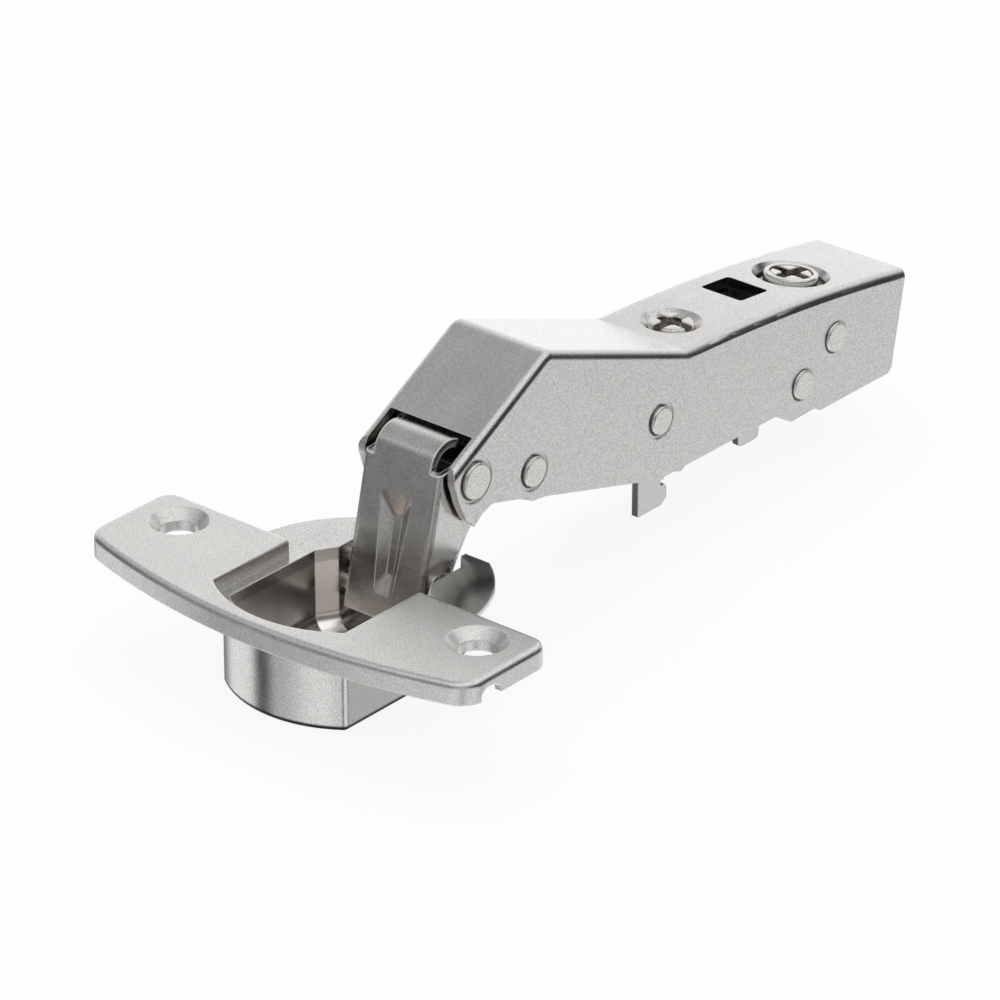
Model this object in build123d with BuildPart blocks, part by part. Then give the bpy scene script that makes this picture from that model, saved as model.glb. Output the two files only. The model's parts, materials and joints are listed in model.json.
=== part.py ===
"""Concealed cup hinge for a thick cabinet door, shown open, with an angled clip-on arm.

Frame: X runs from the cup along the arm to its rear, Y across the hinge and Z up out of the
cup. The origin is the centre of the 35 mm cup on the face of the door. Sizes are millimetres.
"""

import os
from math import atan2, cos, degrees, hypot, radians, sin

from build123d import *

os.makedirs("parts", exist_ok=True)

# Cup, drawn from sheet steel, with a round flange on the door
cup_radius = 17.5
cup_half_width = 10.75
cup_depth = 12.1
cup_wall = 0.9
cup_corner = 1.0
cup_floor_fillet = 2.5
flange_radius = 18.6
flange_thickness = 0.6
flange_rear = 15.6
channel_gap = 1.5
exit_gap = 0.8
channel_front = 3.4
channel_neck = 6.2
channel_rear = 12.1
pocket_rear = 14.7
exit_depth = 3.2

# Wing cover, which carries the two wood screws
wing_half_length = 33.3
wing_back = 0.35
wing_front = 21.0
wing_front_radius = 104.0
wing_height = 3.2
wing_sheet = 1.1
wing_edge = 0.85
wing_front_corner = 4.0
wing_back_corner = 2.4
opening_radius = 18.5
opening_half = 11.3
opening_edge = 0.6
screw_spacing = 52.0
screw_x = -5.5
screw_hole_radius = 2.7
screw_sink_radius = 4.15
boss_radius = 5.0
drain_notch_width = 3.8
drain_notch_height = 1.7
drain_notch_x = -11.3

# Pivots, as (x, z): c and d in the cup, a and b in the arm
pin_a = (15.0, 12.4)
pin_b = (26.9, 9.2)
pin_c = (9.25, -5.8)
pin_d = (9.55, -1.6)
pin_c_radius = 1.5
pin_d_radius = 1.25
fit = 0.05

# Outer link, a pressed and curled channel
link_gap = 0.5
link_sheet = 0.9
link_edge = 0.85
link_lean = 13.0
link_face_offset = 5.5
link_eye_a = 5.0
link_eye_c = 2.5
link_shoulder = 14.2
link_foot = -7.0
link_tip = (15.0, 4.5)
link_waist = (11.95, 0.4)
link_waist_radius = 9.2
curl_inset = 1.7
curl_radius = 3.85
curl_rise = 1.5
curl_sheet = 1.2
curl_end = 60.0
recess_depth = 1.0
recess_top = 3.9
recess_length = 14.6
recess_top_half = 2.75
recess_foot_half = 1.5
recess_floor = (0.75, 0.6, 3.4, 2.9)
recess_corner = 1.2
recess_sheet = 0.8
link_roof_clearance = 0.4
link_clearance = 0.35
pin_d_sweep = 97.0

# Inner link
inner_gap = 0.5
inner_sheet = 0.9
inner_eye_b = 3.3
inner_eye_d = 2.2
inner_slot = (1.35, 1.0)
slot_clearance = 0.3

# Arm, a folded channel open below
arm_half = 8.4
arm_sheet = 1.3
arm_edge = 1.2
arm_open_x = 15.8
arm_open_z = 17.95
arm_front_slope = 28.9
arm_crease = (59.6, 14.85)
arm_mid_slope = -20.1
arm_crest_radius = 3.5
arm_rear_top = (109.2, 9.5)
arm_rear_camber = 0.9
arm_rear_bottom = (106.3, -5.5)
arm_rear_corner = 1.2
arm_rear_notch = ((89.8, -5.4), (85.5, -3.0), (79.4, -2.55))
arm_belly = ((53.5, -2.35), (29.2, 4.6), (26.6, 4.9), (23.6, 6.35))
nose_neck = (18.3, 7.75)
nose_hollow = (16.2, 6.95)
nose_tip = (14.7, 5.75)
nose_chin = (12.98, 7.4)
nose_cheek = (11.7, 10.1)
nose_front = (10.95, 12.5)
nose_brow = (10.7, 14.0)

# Pins of the arm: (x, z), head radius, height of the head over the cheek
pin_head_a = 2.6
pin_head_b = 2.2
pin_g = (53.8, 6.6)
pin_head_g = 2.1
pin_e = (92.9, 4.9)
pin_f = (85.5, 0.2)
pin_head_rear = 2.2
pin_proud = 0.4
pin_shank = 1.5
ring_groove = 0.65
ring_depth = 0.25

# Adjusting screws and the clip part inside the arm
side_screw_x = 66.3
side_screw_hole = 4.5
side_dish_depth = 1.0
side_collar_depth = 2.8
side_screw_head = 3.25
depth_screw_x = 93.3
depth_hole = 5.6
collar_radius = 3.9
depth_screw_head = 3.1
slot_x = (78.9, 85.2)
slot_y = (-2.3, 4.9)
clip_gap = 0.3
clip_sheet = 1.1
clip_front = 50.5
clip_web_front = 59.0
clip_drop = 4.2
clip_rear = 104.5
clip_foot = ((90.3, -5.9), (85.2, -6.0), (80.6, -3.3), (62.0, -3.3), (60.4, -4.2), (58.6, -3.6), (58.2, -2.2))
hook_root = 3.6
hook_outline = ((51.0, 0.0), (51.0, -7.7), (56.0, -7.7), (57.1, -6.9), (57.2, -5.4), (56.6, -4.6), (56.6, 0.0))
hook_notch = (56.4, -4.3)
tab_centre = (75.4, -3.2)
tab_width = 4.6
tab_height = 4.6
slide_range = 1.0
pin_slot_clearance = 1.4
head_slot = 1.6
head_slot_depth = 1.2
side_head_depth = 2.6
side_neck_radius = 1.7
side_neck_length = 3.7
side_foot_radius = 2.8
depth_slide_drop = 4.0
depth_slide_thickness = 2.2
depth_slide_length = 13.0
depth_stem_radius = 2.0
depth_stem_length = 3.2
collar_proud = 0.3
washer_height = 0.3
lever_rear = 103.0
lever_foot = 5.2
lever_heel = 3.4
lever_brow = 2.2

# Springs: mean radius of the coil, radius of the wire, and the two legs
closing_coil_radius = 2.45
closing_wire = 0.42
closing_turns = 6.25
closing_legs = (5.5, 2.9)
lever_coil_radius = 2.1
lever_wire = 0.32
lever_turns = 4.5
lever_legs = (3.6, 5.0)

# Sizes that follow from those above
link_half = arm_half - arm_sheet - link_gap
curl_half = link_half - curl_inset
inner_half = link_half - link_sheet - inner_gap
channel_half = link_half + channel_gap
exit_half = inner_half + exit_gap
clip_half = arm_half - arm_sheet - clip_gap
clip_inner = clip_half - clip_sheet
bridge = wing_front - opening_radius

lean = radians(link_lean)
face_n = (-cos(lean), sin(lean))
face_u = (sin(lean), cos(lean))


def along(p, d, s):
    """The point at distance s from p in direction d, in the XZ plane."""
    return (p[0] + d[0] * s, p[1] + d[1] * s)


def arm_top(x):
    """Height of the arm's rear top face at x, before camber."""
    x0, z0 = arm_crease
    x1, z1 = arm_rear_top
    return z0 + (z1 - z0) * (x - x0) / (x1 - x0)


def rear_plane(x, drop=0.0):
    """Plane on the rear top face at x, with its normal out of the face."""
    run = arm_rear_top[0] - arm_crease[0]
    t = (x - arm_crease[0]) / run
    slope = atan2(arm_rear_top[1] - arm_crease[1] + arm_rear_camber * 4 * (1 - 2 * t), run)
    z = arm_top(x) + 4 * arm_rear_camber * t * (1 - t)
    n = (-sin(slope), cos(slope))
    return Plane(
        origin=(x - n[0] * drop, 0, z - n[1] * drop),
        x_dir=(cos(slope), 0, sin(slope)),
        z_dir=(n[0], 0, n[1]),
    )


# CUP

def pocket(inset):
    """Plan of the cup, moved in by inset from its outer face."""
    r = cup_radius - inset
    half = cup_half_width - inset
    neck = channel_half + cup_wall - inset
    leave = exit_half + cup_wall - inset
    rear = pocket_rear + cup_wall - inset
    x0 = -((r * r - half * half) ** 0.5)
    with BuildLine() as edge:
        ThreePointArc((x0, half), (-r, 0), (x0, -half))
        Polyline(
            (x0, -half),
            (channel_front, -half),
            (channel_neck, -neck),
            (channel_rear, -neck),
            (rear, -leave),
            (rear, leave),
            (channel_rear, neck),
            (channel_neck, neck),
            (channel_front, half),
            (x0, half),
        )
    return edge.line


with BuildPart() as hinge_cup:
    with BuildSketch(Plane.XY.offset(-cup_depth)):
        with BuildLine():
            add(pocket(0))
        make_face()
    extrude(amount=cup_depth)
    fillet(hinge_cup.edges().filter_by(Axis.Z).group_by(Axis.X)[0], cup_corner)
    fillet(hinge_cup.faces().sort_by(Axis.Z)[0].edges(), 0.5)
    with BuildSketch(Plane.XY):
        Circle(flange_radius)
        with Locations((flange_rear + flange_radius, 0)):
            Rectangle(2 * flange_radius, 3 * flange_radius, mode=Mode.SUBTRACT)
    extrude(amount=flange_thickness)
    with BuildPart(mode=Mode.PRIVATE) as hollow:
        with BuildSketch(Plane.XY.offset(cup_wall - cup_depth)):
            with BuildLine():
                add(pocket(cup_wall))
            make_face()
        extrude(amount=cup_depth + 1)
        fillet(hollow.faces().sort_by(Axis.Z)[0].edges(), cup_floor_fillet)
    add(hollow.part, mode=Mode.SUBTRACT)
    with BuildSketch(Plane.XY.offset(-exit_depth)):
        with Locations((pocket_rear + flange_radius / 2 - 1, 0)):
            Rectangle(flange_radius, 2 * exit_half)
    extrude(amount=exit_depth + 1, mode=Mode.SUBTRACT)
    with BuildSketch(Plane.XZ):
        with Locations(pin_c):
            Circle(pin_c_radius)
        with Locations(pin_d):
            Circle(pin_d_radius)
    extrude(amount=cup_radius, both=True, mode=Mode.SUBTRACT)
hinge_cup.part.label = "hinge_cup"
export_step(hinge_cup.part, "parts/hinge_cup.step")

stub_inner = link_half - link_sheet - 0.2
for side, name in ((-1, "cup_pin_near"), (1, "cup_pin_far")):
    with BuildPart() as cup_pin:
        with BuildSketch(Plane.XZ.offset(-side * stub_inner)):
            with Locations(pin_c):
                Circle(pin_c_radius)
        extrude(amount=-side * (channel_half + cup_wall - stub_inner))
    cup_pin.part.label = name
    export_step(cup_pin.part, f"parts/{name}.step")

with BuildPart() as inner_cup_pin:
    with BuildSketch(Plane.XZ):
        with Locations(pin_d):
            Circle(pin_d_radius)
    extrude(amount=channel_half + cup_wall, both=True)
inner_cup_pin.part.label = "inner_cup_pin"
export_step(inner_cup_pin.part, "parts/inner_cup_pin.step")


# WING COVER

def wing_plan(inset):
    """Plan of the wing cover: a shallow bow in front and a straight back."""
    with BuildSketch() as plan:
        with Locations((wing_front_radius - wing_front, 0)):
            Circle(wing_front_radius - inset)
        width = wing_front + wing_back - inset
        with Locations((wing_back - inset - width / 2, 0)):
            Rectangle(width, 2 * (wing_half_length - inset), mode=Mode.INTERSECT)
        corners = plan.vertices().group_by(Axis.X)
        fillet(corners[0], wing_front_corner - inset)
        fillet(plan.vertices().group_by(Axis.X)[-1], wing_back_corner - inset)
    return plan.sketch


def opening_plan(grow):
    """Plan of the opening over the cup, open to the back."""
    half = opening_half + grow
    r = opening_radius + grow
    with BuildSketch() as plan:
        Circle(r)
        Rectangle(2 * r, 2 * half, mode=Mode.INTERSECT)
        with Locations((r / 2, 0)):
            Rectangle(r, 2 * half)
    return plan.sketch


with BuildPart() as wing_cover:
    add(wing_plan(0))
    extrude(amount=wing_height)
    fillet(wing_cover.faces().sort_by(Axis.Z)[-1].edges(), min(wing_edge, 0.34 * bridge))
    with BuildSketch():
        add(opening_plan(0))
    extrude(amount=wing_height, mode=Mode.SUBTRACT)
    rim = wing_cover.faces().sort_by(Axis.Z)[-1].edges()
    inner_rim = [e for e in rim if abs(e.center().Y) < opening_half + 0.1 and e.center().X < wing_back - 1.5]
    inner_rim = [e for e in inner_rim if abs(e.center().Y) > 1 or e.center().X > -opening_radius - 0.5]
    fillet(inner_rim, min(opening_edge, 0.24 * bridge))
    with BuildSketch():
        add(wing_plan(wing_sheet))
        add(opening_plan(wing_sheet), mode=Mode.SUBTRACT)
        Rectangle(2 * wing_front + 2, 2 * opening_half + 4, mode=Mode.SUBTRACT)
    extrude(amount=wing_height - wing_sheet, mode=Mode.SUBTRACT)
    with BuildSketch(Plane.XY.offset(0.3)):
        with Locations((screw_x, screw_spacing / 2), (screw_x, -screw_spacing / 2)):
            Circle(boss_radius)
    extrude(amount=wing_height - wing_sheet - 0.3)
    with Locations(Plane.XY.offset(wing_height)):
        with Locations((screw_x, screw_spacing / 2), (screw_x, -screw_spacing / 2)):
            CounterSinkHole(screw_hole_radius, screw_sink_radius, counter_sink_angle=90)
    with BuildSketch():
        Circle(flange_radius + 0.1)
    extrude(amount=flange_thickness, mode=Mode.SUBTRACT)
    for side in (-1, 1):
        with BuildSketch(Plane.XZ.offset(side * (wing_half_length - 3 * wing_sheet))):
            with Locations((drain_notch_x, 0)):
                RectangleRounded(drain_notch_width, 2 * drain_notch_height, 0.3 * drain_notch_width)
        extrude(amount=side * 4 * wing_sheet, mode=Mode.SUBTRACT)
wing_cover.part.label = "wing_cover"
export_step(wing_cover.part, "parts/wing_cover.step")


# OUTER LINK

face_a = along(pin_a, face_n, link_face_offset)


def face_at(z, depth=0.0):
    """Point of the outer link's front face at height z, or depth behind it."""
    s = (z - face_a[1]) / face_u[1]
    return along(along(face_a, face_u, s), face_n, -depth)


def link_side(depth):
    """Side view of the outer link's flange, its front moved back by depth."""
    with BuildLine() as edge:
        Polyline(
            link_waist,
            (pin_c[0] + link_eye_c, pin_c[1]),
            (pin_c[0], pin_c[1] - link_eye_c),
            face_at(link_foot, depth),
            face_at(link_shoulder, depth),
            along(pin_a, (cos(radians(130)), sin(radians(130))), link_eye_a),
            along(pin_a, (cos(radians(-40)), sin(radians(-40))), link_eye_a),
            (link_tip[0] - 0.8, link_tip[1] + 1.7),
            link_tip,
        )
        RadiusArc(link_tip, link_waist, link_waist_radius)
    return edge.line


front_dir = (cos(radians(arm_front_slope)), sin(radians(arm_front_slope)))
roof_n = (-front_dir[1], front_dir[0])
roof_run = (arm_open_x - pin_a[0]) * roof_n[0] + (arm_open_z - pin_a[1]) * roof_n[1]
roof_drop = arm_sheet * 1.1 * roof_n[1]
under_roof = along(pin_a, roof_n, roof_run - roof_drop - link_roof_clearance)

curl = along(pin_a, face_n, link_face_offset - curl_radius)
curl = along(curl, face_u, (pin_a[1] + curl_rise - curl[1]) / face_u[1])
start = degrees(atan2(face_n[1], face_n[0]))
turn = curl_end - start


def on_curl(r, deg):
    return (curl[0] + r * cos(radians(deg)), curl[1] + r * sin(radians(deg)))


with BuildPart() as outer_link:
    with BuildSketch(Plane.XZ):
        with BuildLine():
            add(link_side(0))
        make_face()
        with Locations(pin_a):
            Circle(link_eye_a)
        with Locations(pin_c):
            Circle(link_eye_c)
    extrude(amount=link_half, both=True)
    front = outer_link.edges().filter_by(
        lambda e: abs(abs(e.center().Y) - link_half) < 0.01
        and abs((e.center().X - face_a[0]) * face_n[0] + (e.center().Z - face_a[1]) * face_n[1]) < 0.01
    )
    fillet(front, link_edge)
    with BuildSketch(Plane.XZ):
        with BuildLine():
            inner = [face_at(link_foot - 9, link_sheet), face_at(link_shoulder + 9, link_sheet)]
            Polyline(inner[0], inner[1], (40, 25), (40, -20), inner[0])
        make_face()
    extrude(amount=link_half - link_sheet, both=True, mode=Mode.SUBTRACT)
    with BuildSketch(Plane.XZ):
        with BuildLine():
            Polyline(
                (-wing_front, link_shoulder),
                face_at(link_shoulder),
                along(under_roof, front_dir, -0.8),
                along(under_roof, front_dir, 2 * link_eye_a),
                (pin_b[0], arm_half * 4),
                (-wing_front, arm_half * 4),
                close=True,
            )
        make_face()
    extrude(amount=link_half + 1, both=True, mode=Mode.SUBTRACT)
    with BuildSketch(Plane.XZ):
        with BuildLine():
            Polyline(
                face_at(pin_a[1] - 3, curl_sheet),
                face_at(pin_a[1] - 3),
                on_curl(curl_radius, start),
            )
            ThreePointArc(
                on_curl(curl_radius, start),
                on_curl(curl_radius, start + turn / 2),
                on_curl(curl_radius, curl_end),
            )
            Line(on_curl(curl_radius, curl_end), on_curl(curl_radius - curl_sheet, curl_end))
            ThreePointArc(
                on_curl(curl_radius - curl_sheet, curl_end),
                on_curl(curl_radius - curl_sheet, start + turn / 2),
                on_curl(curl_radius - curl_sheet, start),
            )
            Line(on_curl(curl_radius - curl_sheet, start), face_at(pin_a[1] - 3, curl_sheet))
        make_face()
    extrude(amount=curl_half, both=True)
    with BuildSketch(Plane.XZ):
        with Locations(pin_a, pin_c):
            Circle(pin_shank + fit)
        d_angle = degrees(atan2(pin_d[1] - pin_c[1], pin_d[0] - pin_c[0]))
        d_reach = hypot(pin_d[0] - pin_c[0], pin_d[1] - pin_c[1])
        d_clear = pin_d_radius + slot_clearance
        with Locations(pin_d):
            Circle(d_clear)
    extrude(amount=link_half + 1, both=True, mode=Mode.SUBTRACT)
    with BuildSketch(Plane.XZ):
        with BuildLine():
            a0, a1 = radians(d_angle), radians(d_angle - pin_d_sweep - 20)
            am = (a0 + a1) / 2
            r0, r1 = d_reach - d_clear, d_reach + d_clear
            ThreePointArc(*[along(pin_c, (cos(a), sin(a)), r1) for a in (a0, am, a1)])
            Line(along(pin_c, (cos(a1), sin(a1)), r1), along(pin_c, (cos(a1), sin(a1)), r0))
            ThreePointArc(*[along(pin_c, (cos(a), sin(a)), r0) for a in (a1, am, a0)])
            Line(along(pin_c, (cos(a0), sin(a0)), r0), along(pin_c, (cos(a0), sin(a0)), r1))
        make_face()
    extrude(amount=link_half + 1, both=True, mode=Mode.SUBTRACT)
    recess_origin = along(face_at(link_shoulder), face_u, -(recess_top + recess_length / 2))
    recess_plane = Plane(
        origin=(recess_origin[0], 0, recess_origin[1]),
        x_dir=(0, 1, 0),
        z_dir=(-face_n[0], 0, -face_n[1]),
    )

    def recess_plan(offset, top_half, foot_half, top, foot, grow):
        """Tapered four-sided plan on a plane parallel to the face, grown by grow."""
        with BuildSketch(recess_plane.offset(offset)) as plan:
            with BuildLine():
                Polyline(
                    (-top_half - grow, recess_length / 2 - top + grow),
                    (top_half + grow, recess_length / 2 - top + grow),
                    (foot_half + grow, foot - recess_length / 2 - grow),
                    (-foot_half - grow, foot - recess_length / 2 - grow),
                    close=True,
                )
            make_face()
            fillet(plan.vertices(), min(recess_corner, 0.6 * (foot_half + grow)))
        return plan.sketch

    with BuildPart(mode=Mode.PRIVATE) as bulge:
        add(recess_plan(link_sheet / 2, recess_top_half, recess_foot_half, 0, 0, 0.3))
        add(recess_plan(recess_depth + recess_sheet, *recess_floor, 0.4))
        loft()
    add(bulge.part)
    with BuildPart(mode=Mode.PRIVATE) as dent:
        add(recess_plan(0, recess_top_half, recess_foot_half, 0, 0, 0))
        add(recess_plan(recess_depth, *recess_floor, 0))
        loft()
    add(dent.part, mode=Mode.SUBTRACT)
outer_link.part.label = "outer_link"
export_step(outer_link.part, "parts/outer_link.step")


# INNER LINK

inner_top = link_sheet + recess_depth + recess_sheet - link_sheet + link_clearance
window_end = (pin_d[0] + inner_slot[0], pin_d[1] + inner_slot[1])
window_half = pin_d_radius + slot_clearance


def inner_side(depth):
    """Side view of the inner link above its cup eye, its upper edge moved down by depth."""
    foot = face_at(window_end[1] + window_half + 0.3, inner_top + depth)
    bend = face_at(pin_a[1] - link_eye_a - 0.6, inner_top + depth)
    crown = (pin_b[0], pin_b[1] + inner_eye_b - depth)
    with BuildLine() as edge:
        Line(foot, bend)
        Spline(bend, (pin_b[0] - 8.2, pin_b[1] + 1.2 - depth), crown, tangents=((0.4, 1.0), (1.0, 0.15)))
        Line(crown, (pin_b[0], pin_b[1] - inner_eye_b))
        Spline(
            (pin_b[0], pin_b[1] - inner_eye_b),
            (pin_b[0] - 7.0, pin_b[1] - 3.6),
            (pin_d[0] + 6.3, pin_d[1] + 3.0),
            (pin_d[0] + 4.2, pin_d[1] - 0.4),
        )
        Line((pin_d[0] + 4.2, pin_d[1] - 0.4), foot)
    return edge.line


with BuildPart() as inner_link:
    with BuildSketch(Plane.XZ):
        with BuildLine():
            add(inner_side(0))
        make_face()
        with Locations(pin_b):
            Circle(inner_eye_b)
        with BuildLine():
            Polyline(
                (pin_d[0], pin_d[1] - inner_eye_d),
                (window_end[0] + 1, pin_d[1] - inner_eye_d),
                (pin_d[0] + 4.2, pin_d[1] - 0.4),
                (pin_d[0] + 4.2, window_end[1] + inner_eye_d),
                face_at(window_end[1] + window_half + 0.3, inner_top),
                (pin_d[0] - inner_eye_d, pin_d[1]),
                close=True,
            )
        make_face()
        with Locations(pin_d):
            Circle(inner_eye_d)
    extrude(amount=inner_half, both=True)
    with BuildSketch(Plane.XZ):
        with BuildLine():
            add(inner_side(inner_sheet))
        make_face()
        with Locations(pin_b):
            Circle(inner_eye_b + 1)
        with Locations((pin_d[0] + 3, pin_d[1] - 1.5)):
            Rectangle(14, 2 * (window_end[1] + window_half + 0.3 - pin_d[1] + 1.5))
        with Locations((pin_b[0] - 6, pin_b[1] - 6)):
            Rectangle(8, 8)
    extrude(amount=inner_half - inner_sheet, both=True, mode=Mode.SUBTRACT)
    with BuildSketch(Plane.XZ):
        with Locations(pin_b):
            Circle(pin_shank + fit)
        slot_angle = degrees(atan2(inner_slot[1], inner_slot[0]))
        with Locations(((pin_d[0] + window_end[0]) / 2, (pin_d[1] + window_end[1]) / 2)):
            SlotCenterToCenter(hypot(*inner_slot), 2 * window_half, rotation=slot_angle)
    extrude(amount=inner_half + 1, both=True, mode=Mode.SUBTRACT)
inner_link.part.label = "inner_link"
export_step(inner_link.part, "parts/inner_link.step")


# ARM

mid_dir = (cos(radians(arm_mid_slope)), sin(radians(arm_mid_slope)))
crest_gap = (arm_crease[0] - arm_open_x, arm_crease[1] - arm_open_z)
cross = front_dir[0] * mid_dir[1] - front_dir[1] * mid_dir[0]
crest_run = (crest_gap[0] * mid_dir[1] - crest_gap[1] * mid_dir[0]) / cross
arm_crest = along((arm_open_x, arm_open_z), front_dir, crest_run)
arm_nose = along((arm_open_x, arm_open_z), front_dir, -5.2)
camber_mid = ((arm_crease[0] + arm_rear_top[0]) / 2, (arm_crease[1] + arm_rear_top[1]) / 2 + arm_rear_camber)


def arm_back(drop):
    """Top line of the arm from its nose to its rear, moved down by drop."""
    low = lambda p: (p[0], p[1] - drop)
    nose, crest, crease = low(arm_nose), low(arm_crest), low(arm_crease)
    before = along(crest, front_dir, -arm_crest_radius * 0.455)
    after = along(crest, mid_dir, arm_crest_radius * 0.455)
    middle = ((before[0] + after[0]) / 2 * 0.35 + crest[0] * 0.65, (before[1] + after[1]) / 2 * 0.35 + crest[1] * 0.65)
    with BuildLine() as edge:
        Line(nose, before)
        ThreePointArc(before, middle, after)
        Line(after, crease)
        ThreePointArc(crease, low(camber_mid), low(arm_rear_top))
    return edge.line


with BuildPart() as arm_channel:
    with BuildSketch(Plane.XZ):
        with BuildLine():
            add(arm_back(0))
            Polyline(
                arm_rear_top,
                arm_rear_bottom,
                *arm_rear_notch,
                *arm_belly,
                nose_neck,
            )
            ThreePointArc(nose_neck, nose_hollow, nose_tip)
            Polyline(nose_tip, nose_chin, nose_cheek, nose_front)
            ThreePointArc(nose_front, nose_brow, arm_nose)
        make_face()
    extrude(amount=arm_half, both=True)
    top_edges = arm_channel.edges().filter_by(
        lambda e: abs(abs(e.center().Y) - arm_half) < 0.01 and e.center().Z > 10 and e.center().X > 13
    )
    fillet(top_edges, arm_edge)
    fillet(arm_channel.edges().filter_by(Axis.Y).sort_by_distance((arm_rear_bottom[0], 0, arm_rear_bottom[1]))[0],
           arm_rear_corner)
    with BuildSketch(Plane.XZ):
        with BuildLine():
            add(arm_back(arm_sheet * 1.1))
            end = (arm_rear_top[0], arm_rear_top[1] - arm_sheet * 1.1)
            begin = (arm_nose[0], arm_nose[1] - arm_sheet * 1.1)
            Polyline(end, (end[0] + 5, end[1]), (end[0] + 5, -20), (0, -20), (0, begin[1]), begin)
        make_face()
    extrude(amount=arm_half - arm_sheet, both=True, mode=Mode.SUBTRACT)
    with BuildSketch(Plane.XZ):
        with BuildLine():
            low = along((arm_open_x, arm_open_z), (front_dir[1], -front_dir[0]), 6)
            high = along((arm_open_x, arm_open_z), (front_dir[1], -front_dir[0]), -4)
            Polyline(low, high, (0, high[1]), (0, low[1]), low)
        make_face()
    extrude(amount=arm_half - arm_sheet, both=True, mode=Mode.SUBTRACT)
    with BuildSketch(rear_plane(side_screw_x, arm_sheet * 0.9)):
        Circle(side_screw_head + 1.3)
    extrude(amount=-side_collar_depth + arm_sheet * 0.9)
    with BuildSketch(rear_plane(side_screw_x, side_collar_depth + 1)):
        Circle(side_screw_head + fit)
    extrude(amount=side_collar_depth + 2, mode=Mode.SUBTRACT)
    with BuildPart(mode=Mode.PRIVATE) as dish:
        with BuildSketch(rear_plane(side_screw_x)):
            Circle(side_screw_hole)
        with BuildSketch(rear_plane(side_screw_x, side_dish_depth)):
            Circle(side_screw_head + fit)
        loft()
    add(dish.part, mode=Mode.SUBTRACT)
    with BuildSketch(rear_plane(depth_screw_x, 2)):
        Circle(depth_hole - 0.5 * arm_sheet)
    extrude(amount=4, mode=Mode.SUBTRACT)
    with BuildPart(mode=Mode.PRIVATE) as dish:
        with BuildSketch(rear_plane(depth_screw_x, -0.1)):
            Circle(depth_hole + 0.1)
        with BuildSketch(rear_plane(depth_screw_x, 0.75 * arm_sheet)):
            Circle(depth_hole - 0.5 * arm_sheet)
        loft()
    add(dish.part, mode=Mode.SUBTRACT)
    with BuildSketch(rear_plane((slot_x[0] + slot_x[1]) / 2, 2)) as slot:
        with Locations((0, (slot_y[0] + slot_y[1]) / 2)):
            RectangleRounded(slot_x[1] - slot_x[0], slot_y[1] - slot_y[0], 0.6)
    extrude(amount=4, mode=Mode.SUBTRACT)
    for place, head, ring in (
        (pin_a, pin_head_a, True),
        (pin_b, pin_head_b, True),
        (pin_g, pin_head_g, True),
        (pin_e, pin_head_rear, False),
        (pin_f, pin_head_rear, False),
    ):
        with BuildSketch(Plane.XZ):
            with Locations(place):
                Circle(head + 0.02)
        extrude(amount=arm_half + 1, both=True, mode=Mode.SUBTRACT)
        if ring:
            for side in (-1, 1):
                with BuildSketch(Plane.XZ.offset(side * (arm_half - ring_depth))):
                    with Locations(place):
                        Circle(head + ring_groove)
                extrude(amount=side, mode=Mode.SUBTRACT)
arm_channel.part.label = "arm_channel"
export_step(arm_channel.part, "parts/arm_channel.step")

for name, place, head in (
    ("pin_outer_link", pin_a, pin_head_a),
    ("pin_inner_link", pin_b, pin_head_b),
    ("pin_front", pin_g, pin_head_g),
    ("pin_rear_upper", pin_e, pin_head_rear),
    ("pin_rear_lower", pin_f, pin_head_rear),
):
    with BuildPart() as pin:
        with BuildSketch(Plane.XZ):
            with Locations(place):
                Circle(pin_shank)
        extrude(amount=arm_half, both=True)
        for side in (-1, 1):
            with BuildSketch(Plane.XZ.offset(side * (arm_half - arm_sheet))):
                with Locations(place):
                    Circle(head)
            extrude(amount=side * (arm_sheet + pin_proud))
        ends = pin.faces().filter_by(Axis.Y).sort_by(Axis.Y)
        chamfer(ends[0].edges() + ends[-1].edges(), 0.2)
    pin.part.label = name
    export_step(pin.part, f"parts/{name}.step")


# CLIP CHANNEL, which holds on to the mounting plate



def clip_line(x):
    """Height of the clip channel's web at x, parallel to the arm's rear face."""
    return arm_top(x) - clip_drop


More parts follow.
